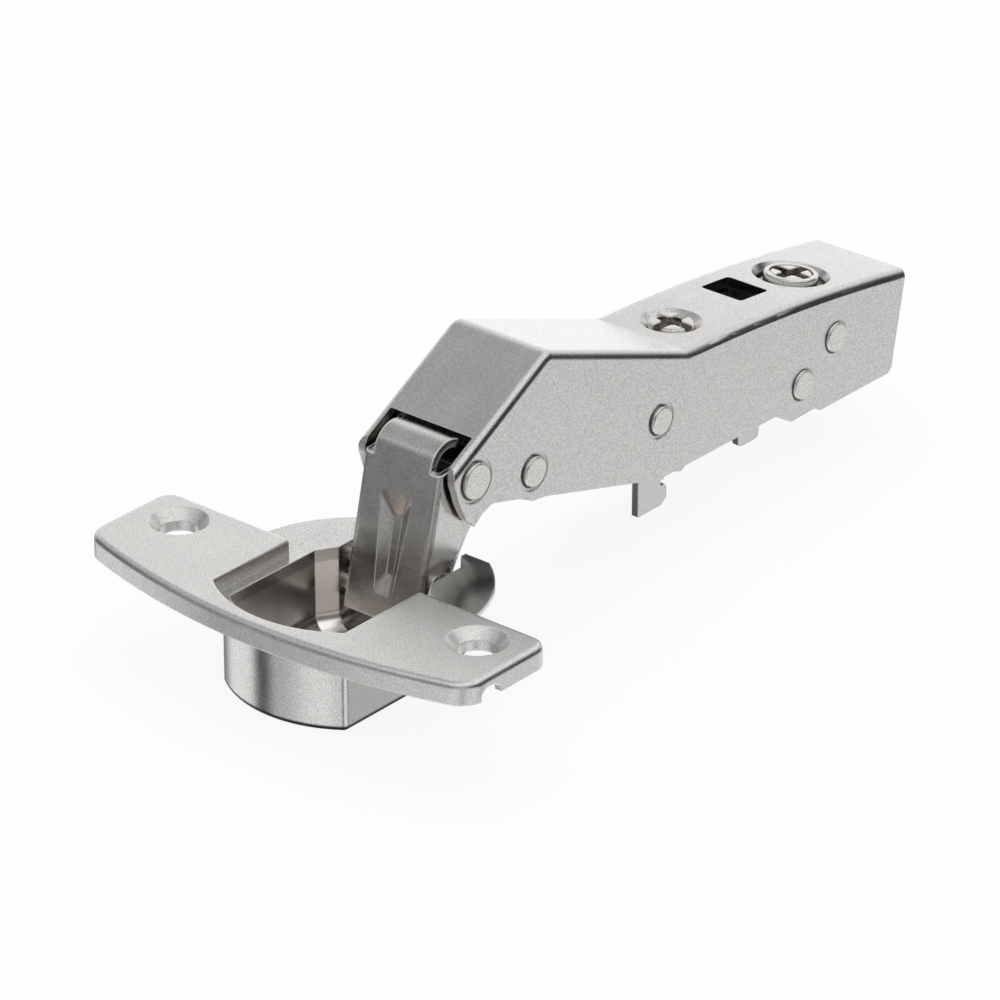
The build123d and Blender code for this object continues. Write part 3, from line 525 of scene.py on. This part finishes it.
def nickel(name, colour, roughness, clouding, grain_size, depth, edge, highlight):
    """Material of one nickel-plated finish, built from the satin grain and painted edge highlight groups."""
    material = bpy.data.materials.get(name)
    if material:
        return material
    material = bpy.data.materials.new(name)
    material.use_nodes = True
    nodes, links = material.node_tree.nodes, material.node_tree.links
    shader = nodes["Principled BSDF"]
    shader.inputs["Metallic"].default_value = 1.0
    group = nodes.new("ShaderNodeGroup")
    group.node_tree = satin_grain()
    group.inputs["Colour"].default_value = (*colour, 1.0)
    group.inputs["Roughness"].default_value = roughness
    group.inputs["Grain Scale"].default_value = 1.0 / grain_size
    group.inputs["Clouding"].default_value = clouding
    links.new(group.outputs["Colour"], shader.inputs["Base Color"])
    links.new(group.outputs["Roughness"], shader.inputs["Roughness"])
    bump = nodes.new("ShaderNodeBump")
    bump.inputs["Strength"].default_value = depth
    bump.inputs["Distance"].default_value = grain_size * 0.5
    links.new(group.outputs["Relief"], bump.inputs["Height"])
    if edge > 0:
        bevel = nodes.new("ShaderNodeBevel")
        bevel.samples = 6
        bevel.inputs["Radius"].default_value = edge
        links.new(bevel.outputs["Normal"], bump.inputs["Normal"])
        # Painted highlight: edges turn pale and less metallic where the rounded normal turns away
        edge_highlight = nodes.new("ShaderNodeGroup")
        edge_highlight.node_tree = painted_edge_highlight()
        edge_highlight.inputs["Wear"].default_value = highlight
        links.new(bevel.outputs["Normal"], edge_highlight.inputs["Rounded Normal"])
        links.new(group.outputs["Colour"], edge_highlight.inputs["Colour"])
        links.new(edge_highlight.outputs["Colour"], shader.inputs["Base Color"])
        links.new(edge_highlight.outputs["Metallic"], shader.inputs["Metallic"])
    links.new(bump.outputs["Normal"], shader.inputs["Normal"])
    return material


def plating(name):
    """Material of one of the platings, with the scene's present settings."""
    look = bpy.context.scene.hinge_finish
    setting, gain, rough, clouding, edge, highlight = PLATINGS[name]
    colour = [channel * gain for channel in getattr(look, setting)]
    return nickel(name, colour, look.roughness * rough, clouding, look.grain_size, look.grain_depth,
                  look.edge_round * edge, highlight)


def between(material, group, values):
    """Puts a colour group between a material's present colour and its shader."""
    nodes, links = material.node_tree.nodes, material.node_tree.links
    target = nodes["Principled BSDF"].inputs["Base Color"]
    source = target.links[0].from_socket
    step = nodes.new("ShaderNodeGroup")
    step.node_tree = group
    for key, value in values.items():
        step.inputs[key].default_value = value
    links.new(source, step.inputs["Colour"])
    links.new(step.outputs["Colour"], target)


def dress(names, material):
    """Gives CAD nodes one material."""
    for name in names:
        node = frame["nodes"][name]
        node.data.materials.clear()
        node.data.materials.append(material)


# Geometry trees


def feed(obj, tree, values):
    """Adds a tree to an object as a modifier and sets its inputs by their names."""
    modifier = obj.modifiers.new(tree.name, "NODES")
    modifier.node_group = tree
    for item in tree.interface.items_tree:
        if item.item_type == "SOCKET" and item.in_out == "INPUT" and item.name in values:
            modifier[item.identifier] = values[item.name]


def grow(name, mesh, tree, values):
    """Runs a geometry tree on a mesh and returns the result as a plain piece at the origin."""
    scene = bpy.context.scene
    seed = bpy.data.objects.new(name + "_seed", mesh)
    scene.collection.objects.link(seed)
    feed(seed, tree, values)
    graph = bpy.context.evaluated_depsgraph_get()
    result = bpy.data.meshes.new_from_object(seed.evaluated_get(graph))
    bpy.data.objects.remove(seed)
    result.name = name
    piece = bpy.data.objects.new(name, result)
    scene.collection.objects.link(piece)
    return piece


def lobe_tree():
    """Geometry tree that repeats one lobe round a screw's axis."""
    tree = bpy.data.node_groups.get("Screw Lobes")
    if tree:
        return tree
    tree = bpy.data.node_groups.new("Screw Lobes", "GeometryNodeTree")
    tree.is_modifier = True
    socket(tree, "Lobe", "NodeSocketGeometry", "INPUT")
    socket(tree, "Count", "NodeSocketInt", "INPUT", 4)
    socket(tree, "Origin", "NodeSocketVector", "INPUT")
    socket(tree, "Turn", "NodeSocketVector", "INPUT")
    socket(tree, "Finish", "NodeSocketMaterial", "INPUT")
    socket(tree, "Geometry", "NodeSocketGeometry", "OUTPUT")
    nodes, links = tree.nodes, tree.links
    entry = nodes.new("NodeGroupInput")
    leave = nodes.new("NodeGroupOutput")
    points = nodes.new("GeometryNodePoints")
    links.new(entry.outputs["Count"], points.inputs["Count"])
    index = nodes.new("GeometryNodeInputIndex")
    share = maths(tree, "DIVIDE", index.outputs[0], entry.outputs["Count"])
    spin = nodes.new("ShaderNodeCombineXYZ")
    links.new(maths(tree, "MULTIPLY", share, math.tau), spin.inputs["Z"])
    facing = nodes.new("FunctionNodeEulerToRotation")
    links.new(spin.outputs[0], facing.inputs[0])
    spread = nodes.new("GeometryNodeInstanceOnPoints")
    links.new(points.outputs[0], spread.inputs["Points"])
    links.new(entry.outputs["Lobe"], spread.inputs["Instance"])
    links.new(facing.outputs[0], spread.inputs["Rotation"])
    tilt = nodes.new("FunctionNodeEulerToRotation")
    links.new(entry.outputs["Turn"], tilt.inputs[0])
    seat = nodes.new("GeometryNodeTransform")
    links.new(spread.outputs[0], seat.inputs["Geometry"])
    links.new(entry.outputs["Origin"], seat.inputs["Translation"])
    links.new(tilt.outputs[0], seat.inputs["Rotation"])
    real = nodes.new("GeometryNodeRealizeInstances")
    links.new(seat.outputs[0], real.inputs[0])
    finish = nodes.new("GeometryNodeSetMaterial")
    links.new(real.outputs[0], finish.inputs["Geometry"])
    links.new(entry.outputs["Finish"], finish.inputs["Material"])
    links.new(finish.outputs[0], leave.inputs[0])
    return tree


def spring_tree():
    """Geometry tree that winds a torsion spring with two straight legs."""
    tree = bpy.data.node_groups.get("Wound Spring")
    if tree:
        return tree
    tree = bpy.data.node_groups.new("Wound Spring", "GeometryNodeTree")
    tree.is_modifier = True
    socket(tree, "Geometry", "NodeSocketGeometry", "INPUT")
    socket(tree, "Coil Radius", "NodeSocketFloat", "INPUT", 0.0025)
    socket(tree, "Wire Radius", "NodeSocketFloat", "INPUT", 0.0004)
    socket(tree, "Turns", "NodeSocketFloat", "INPUT", 6.0)
    socket(tree, "Height", "NodeSocketFloat", "INPUT", 0.006)
    socket(tree, "First Leg", "NodeSocketFloat", "INPUT", 0.005)
    socket(tree, "Second Leg", "NodeSocketFloat", "INPUT", 0.003)
    socket(tree, "Origin", "NodeSocketVector", "INPUT")
    socket(tree, "Turn", "NodeSocketVector", "INPUT")
    socket(tree, "Finish", "NodeSocketMaterial", "INPUT")
    socket(tree, "Geometry", "NodeSocketGeometry", "OUTPUT")
    nodes, links = tree.nodes, tree.links
    entry = nodes.new("NodeGroupInput")
    leave = nodes.new("NodeGroupOutput")

    def point(*values):
        join = nodes.new("ShaderNodeCombineXYZ")
        for slot, value in enumerate(values):
            put(tree, join.inputs[slot], value)
        return join.outputs[0]

    radius, height = entry.outputs["Coil Radius"], entry.outputs["Height"]
    coil = nodes.new("GeometryNodeCurveSpiral")
    coil.inputs["Resolution"].default_value = 28
    for name, source in (("Rotations", entry.outputs["Turns"]), ("Start Radius", radius),
                         ("End Radius", radius), ("Height", height)):
        links.new(source, coil.inputs[name])
    angle = maths(tree, "MULTIPLY", entry.outputs["Turns"], math.tau)
    across, along = maths(tree, "COSINE", angle), maths(tree, "SINE", angle)
    tip_x, tip_y = maths(tree, "MULTIPLY", radius, across), maths(tree, "MULTIPLY", radius, along)
    run = entry.outputs["Second Leg"]
    end_x = maths(tree, "SUBTRACT", tip_x, maths(tree, "MULTIPLY", run, along))
    end_y = maths(tree, "ADD", tip_y, maths(tree, "MULTIPLY", run, across))
    back = maths(tree, "MULTIPLY", entry.outputs["First Leg"], -1.0)
    parts = nodes.new("GeometryNodeJoinGeometry")
    for start, end in ((point(radius, 0.0, 0.0), point(radius, back, 0.0)),
                       (point(tip_x, tip_y, height), point(end_x, end_y, height))):
        leg = nodes.new("GeometryNodeCurvePrimitiveLine")
        links.new(start, leg.inputs["Start"])
        links.new(end, leg.inputs["End"])
        links.new(leg.outputs[0], parts.inputs[0])
    links.new(coil.outputs[0], parts.inputs[0])
    outline = nodes.new("GeometryNodeCurvePrimitiveCircle")
    outline.inputs["Resolution"].default_value = 12
    links.new(entry.outputs["Wire Radius"], outline.inputs["Radius"])
    wire = nodes.new("GeometryNodeCurveToMesh")
    links.new(parts.outputs[0], wire.inputs["Curve"])
    links.new(outline.outputs[0], wire.inputs["Profile Curve"])
    wire.inputs["Fill Caps"].default_value = True
    tilt = nodes.new("FunctionNodeEulerToRotation")
    links.new(entry.outputs["Turn"], tilt.inputs[0])
    seat = nodes.new("GeometryNodeTransform")
    links.new(wire.outputs[0], seat.inputs["Geometry"])
    links.new(entry.outputs["Origin"], seat.inputs["Translation"])
    links.new(tilt.outputs[0], seat.inputs["Rotation"])
    smooth = nodes.new("GeometryNodeSetShadeSmooth")
    links.new(seat.outputs[0], smooth.inputs["Geometry"])
    real = nodes.new("GeometryNodeRealizeInstances")
    links.new(smooth.outputs[0], real.inputs[0])
    finish = nodes.new("GeometryNodeSetMaterial")
    links.new(real.outputs[0], finish.inputs["Geometry"])
    links.new(entry.outputs["Finish"], finish.inputs["Material"])
    links.new(finish.outputs[0], leave.inputs[0])
    return tree


def lobe_mesh(name, radius, slot):
    """One raised lobe in the first quarter of a screw's head, between two slots."""
    half, inner, outer = slot / 2 + LOBE_BEVEL, radius * LOBE_INNER, radius - LOBE_INSET
    rim = []
    for reach in (outer, inner):
        start = math.asin(half / reach)
        stop = math.pi / 2 - start
        arc = [start + (stop - start) * k / LOBE_STEPS for k in range(LOBE_STEPS + 1)]
        if reach == inner:
            arc.reverse()
        rim += [(reach * math.cos(a), reach * math.sin(a)) for a in arc]
    shape = bmesh.new()
    base = [shape.verts.new((x, y, -LOBE_SINK)) for x, y in rim]
    face = shape.faces.new(base)
    grown = bmesh.ops.extrude_face_region(shape, geom=[face])
    top = [v for v in grown["geom"] if isinstance(v, bmesh.types.BMVert)]
    bmesh.ops.translate(shape, verts=top, vec=(0.0, 0.0, LOBE_SINK + LOBE_RISE))
    bmesh.ops.recalc_face_normals(shape, faces=shape.faces)
    edges = [e for e in shape.edges if all(v.co.z > 0 for v in e.verts)]
    bmesh.ops.bevel(shape, geom=edges, offset=LOBE_BEVEL, segments=2, affect="EDGES", profile=0.5)
    mesh = bpy.data.meshes.new(name)
    shape.to_mesh(mesh)
    shape.free()
    return mesh


# Parts of the studio


def direct_rays(tree):
    """Returns the light path node, and a mask of camera, glossy and transmitted rays."""
    seen = tree.nodes.new("ShaderNodeLightPath")
    share = seen.outputs["Is Camera Ray"]
    for kind in ("Is Glossy Ray", "Is Transmission Ray"):
        share = maths(tree, "MAXIMUM", share, seen.outputs[kind])
    return seen, share


def mix_shaders(tree, share, first, second, target):
    """Mixes two shaders by a share into a target."""
    node = tree.nodes.new("ShaderNodeMixShader")
    for slot, source in enumerate((share, first, second)):
        tree.links.new(source, node.inputs[slot])
    tree.links.new(node.outputs[0], target)


def veil(tree, level, vector, centre, inner, outer, target):
    """Blends a level towards a target inside a soft cone round a direction, angles in degrees."""
    reach = vectors(tree, "DOT_PRODUCT", vector, Vector(centre).normalized())
    share = ramp(tree, reach, math.cos(math.radians(outer)), math.cos(math.radians(inner)), smooth=True)
    return mingle(tree, share, level, target)


def rim_level(tree, vector):
    """Level of the surroundings: white, with a dark rim near the horizon."""
    low, full, fade, high, dark = RIM
    height = split(tree, vector)["Z"]
    rise = ramp(tree, height, low, full, smooth=True)
    fall = ramp(tree, height, high, fade, smooth=True)
    return mingle(tree, maths(tree, "MULTIPLY", rise, fall), 1.0, dark)


def flat_mesh(name, x0, x1, half, z, material):
    """Flat rectangle round the X axis, at one height."""
    mesh = bpy.data.meshes.new(name)
    mesh.from_pydata([(x0, -half, z), (x1, -half, z), (x1, half, z), (x0, half, z)], [], [(0, 1, 2, 3)])
    mesh.materials.append(material)
    piece = bpy.data.objects.new(name, mesh)
    bpy.context.scene.collection.objects.link(piece)
    return piece


def floor_paint(shadow):
    """Material of the floor: bright to the camera, with a faint shadow."""
    paint = bpy.data.materials.new("floor_paint")
    paint.use_nodes = True
    tree = paint.node_tree
    tree.nodes.remove(tree.nodes["Principled BSDF"])
    matt = tree.nodes.new("ShaderNodeBsdfDiffuse")
    matt.inputs["Color"].default_value = FLOOR_COLOUR
    glow = tree.nodes.new("ShaderNodeEmission")
    glow.inputs["Color"].default_value = WHITE
    _, direct = direct_rays(tree)
    mix_shaders(tree, maths(tree, "MULTIPLY", direct, 1.0 - shadow), matt.outputs["BSDF"],
                glow.outputs["Emission"], tree.nodes["Material Output"].inputs["Surface"])
    return paint


def shade_paint():
    """Material of the strip that darkens what reflects the underside of the arm."""
    dull = bpy.data.materials.new("arm_shade")
    dull.use_nodes = True
    nodes = dull.node_tree.nodes
    nodes.remove(nodes["Principled BSDF"])
    ember = nodes.new("ShaderNodeEmission")
    ember.inputs["Color"].default_value = SHADE_COLOUR
    dull.node_tree.links.new(ember.outputs["Emission"], nodes["Material Output"].inputs["Surface"])
    return dull


def surroundings():
    """World that is evenly white, except in reflections, which see the dark rim and the flags."""
    world = bpy.data.worlds.new("studio")
    world.use_nodes = True
    tree = world.node_tree
    soft = tree.nodes["Background"]
    soft.inputs["Color"].default_value = WHITE
    soft.inputs["Strength"].default_value = SOFT_LIGHT
    white = tree.nodes.new("ShaderNodeBackground")
    white.inputs["Color"].default_value = WHITE
    seen, direct = direct_rays(tree)
    way = tree.nodes.new("ShaderNodeTexCoord").outputs["Generated"]
    level = rim_level(tree, way)
    for flag in SKY_FLAGS:
        level = veil(tree, level, way, *flag)
    put(tree, white.inputs["Strength"], mingle(tree, seen.outputs["Is Glossy Ray"], 1.0, level))
    mix_shaders(tree, direct, soft.outputs["Background"], white.outputs["Background"],
                tree.nodes["World Output"].inputs["Surface"])
    return world


# Operators


class HINGE_OT_cup(Operator):
    """Finishes the drawn cup, its pins and the wing cover"""

    bl_idname = "hinge.cup"
    bl_label = "Finish Cup"

    def execute(self, context):
        dress(("wing_cover",), plating("cup_nickel"))
        bowl = plating("drawn_nickel")
        # Painted shade on the near facet, a warm tint on the inner walls and painted shade along the cup's
        # floor
        between(bowl, depth_shade(), FACET_SHADE)
        between(bowl, drawn_inside(), BOWL_TINT)
        between(bowl, depth_shade(), CUP_FLOOR_SHADE)
        dress(("hinge_cup",), bowl)
        dress(("cup_pin_near", "cup_pin_far", "inner_cup_pin"), plating("pin_nickel"))
        return {"FINISHED"}


class HINGE_OT_links(Operator):
    """Finishes the outer and the inner link"""

    bl_idname = "hinge.links"
    bl_label = "Finish Links"

    def execute(self, context):
        dress(("outer_link", "inner_link"), plating("curled_nickel"))
        return {"FINISHED"}


class HINGE_OT_arm(Operator):
    """Finishes the arm, the clip channel, the depth slide and the release lever"""

    bl_idname = "hinge.arm"
    bl_label = "Finish Arm"

    def execute(self, context):
        dress(("clip_channel", "release_lever", "depth_slide"), plating("arm_nickel"))
        cheek = plating("cheek_nickel")
        # Painted shadow lines in the gaps round the rivet heads, darker on one side
        for x, z, radius in RIVETS:
            between(cheek, rivet_shadow_line(), {"Centre": (x, 0.0, z), "Radius": radius + RIVET_SHADOW_GAP, **RIVET_SHADOW})
        # Painted shade on the inner faces of the folded channel
        between(cheek, channel_inside_shade(), {})
        dress(("arm_channel",), cheek)
        return {"FINISHED"}


class HINGE_OT_pins(Operator):
    """Finishes the riveted pins and the collar"""

    bl_idname = "hinge.pins"
    bl_label = "Finish Pins"

    def execute(self, context):
        dress(("pin_outer_link", "pin_inner_link", "pin_front", "pin_rear_upper", "pin_rear_lower"),
              plating("pin_nickel"))
        dress(("depth_collar",), plating("collar_nickel"))
        return {"FINISHED"}


class HINGE_OT_screws(Operator):
    """Finishes the two adjusting screws and raises the lobes of their heads"""

    bl_idname = "hinge.screws"
    bl_label = "Finish Screws"

    def execute(self, context):
        detail = context.scene.hinge_detail
        for node, joint, body, radius, rise in SCREWS:
            hinge = next(j for j in frame["record"]["behaviour"]["joints"] if j["name"] == joint)
            axis = Vector(hinge["axis"]).normalized()
            top = Vector(hinge["pos_m"]) + axis * rise
            metal = plating(node + "_nickel")
            # Brown painted shade deep in the slots of the screw head
            between(metal, depth_shade(), {"Origin": top, "Axis": axis, **SLOT_SHADE})
            dress((node,), metal)
            side = Vector((0, 1, 0))
            turn = Matrix((side.cross(axis), side, axis)).transposed().to_euler()
            lobes = grow(node + "_lobes", lobe_mesh(node + "_lobe", radius, detail.slot_width), lobe_tree(),
                         {"Count": detail.lobe_count, "Origin": top, "Turn": turn, "Finish": metal})
            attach(lobes, body)
        return {"FINISHED"}


class HINGE_OT_springs(Operator):
    """Winds the closing spring and the lever's spring"""

    bl_idname = "hinge.springs"
    bl_label = "Finish Springs"

    def execute(self, context):
        look, detail = context.scene.hinge_finish, context.scene.hinge_detail
        wire = nickel("spring_wire", look.spring_colour, WIRE_ROUGHNESS, WIRE_CLOUDING, look.grain_size,
                      look.grain_depth, 0.0, 0.0)
        for node, prefix, (x, z, _), first, second in SPRINGS:
            coil, thick, turns = (getattr(detail, prefix + part) for part in ("_coil", "_wire", "_turns"))
            height = thick * 2 * COIL_PITCH * turns
            spring = grow(node + "_wire", bpy.data.meshes.new(node + "_start"), spring_tree(), {
                "Coil Radius": coil, "Wire Radius": thick, "Turns": turns, "Height": height,
                "First Leg": first, "Second Leg": second, "Origin": (x, height / 2, z),
                "Turn": (math.pi / 2, 0.0, 0.0), "Finish": wire})
            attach(spring, "arm")
            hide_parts(node)
        return {"FINISHED"}


class HINGE_OT_stage(Operator):
    """Lays the pale floor and sets the surroundings, the lamp, the arm's shade and the camera"""

    bl_idname = "hinge.stage"
    bl_label = "Set Stage"

    def execute(self, context):
        studio = context.scene.hinge_studio
        scene = context.scene
        scene.view_settings.view_transform = "Standard"
        low = CAD_BOX[0][2] - FLOOR_GAP
        half = studio.floor_size / 2
        floor = flat_mesh("floor", -half, half, half, low, floor_paint(studio.shadow))
        floor.visible_glossy = False

        scene.world = surroundings()

        lamp = bpy.data.lights.new("soft_lamp", "AREA")
        lamp.energy = studio.lamp_power
        lamp.size = LAMP_SIZE
        holder = bpy.data.objects.new("soft_lamp", lamp)
        holder.visible_glossy = False
        scene.collection.objects.link(holder)
        holder.location = LAMP_PLACE
        holder.rotation_euler = (LAMP_TARGET - LAMP_PLACE).to_track_quat("-Z", "Y").to_euler()

        strip = flat_mesh("arm_shade", *SHADE_ENDS, SHADE_HALF, low + SHADE_HEIGHT, shade_paint())
        strip.visible_camera = False
        strip.visible_diffuse = False
        strip.visible_shadow = False
        strip.visible_transmission = False

        camera = bpy.data.cameras.new("camera")
        camera.sensor_width = 36.0
        camera.lens = CAMERA_LENS
        camera.clip_start = 0.01
        eye = bpy.data.objects.new("camera", camera)
        scene.collection.objects.link(eye)
        eye.location = CAMERA_TARGET + CAMERA_BACK * CAMERA_DISTANCE
        eye.rotation_euler = (-CAMERA_BACK).to_track_quat("-Z", "Y").to_euler()
        scene.camera = eye
        return {"FINISHED"}


class HINGE_PT_panel(Panel):
    """Sidebar panel with the steps and the settings of the hinge"""

    bl_idname = "HINGE_PT_panel"
    bl_label = "Concealed Hinge"
    bl_space_type = "VIEW_3D"
    bl_region_type = "UI"
    bl_category = "Hinge"

    def draw(self, context):
        column = self.layout.column()
        for step in STEPS:
            column.operator(step.bl_idname)
        for group in (context.scene.hinge_finish, context.scene.hinge_detail, context.scene.hinge_studio):
            for key in group.bl_rna.properties.keys():
                if key not in ("rna_type", "name"):
                    column.prop(group, key)


STEPS = (HINGE_OT_cup, HINGE_OT_links, HINGE_OT_arm, HINGE_OT_pins, HINGE_OT_screws, HINGE_OT_springs,
         HINGE_OT_stage)
CLASSES = (HingeFinish, HingeDetail, HingeStudio, *STEPS, HINGE_PT_panel)


def register():
    for cls in CLASSES:
        bpy.utils.register_class(cls)
    bpy.types.Scene.hinge_finish = PointerProperty(type=HingeFinish)
    bpy.types.Scene.hinge_detail = PointerProperty(type=HingeDetail)
    bpy.types.Scene.hinge_studio = PointerProperty(type=HingeStudio)


def unregister():
    del bpy.types.Scene.hinge_studio
    del bpy.types.Scene.hinge_detail
    del bpy.types.Scene.hinge_finish
    for cls in reversed(CLASSES):
        bpy.utils.unregister_class(cls)


def main():
    register()
    bpy.ops.hinge.cup()
    bpy.ops.hinge.links()
    bpy.ops.hinge.arm()
    bpy.ops.hinge.pins()
    bpy.ops.hinge.screws()
    bpy.ops.hinge.springs()
    bpy.ops.hinge.stage()


if __name__ == "__main__":
    main()
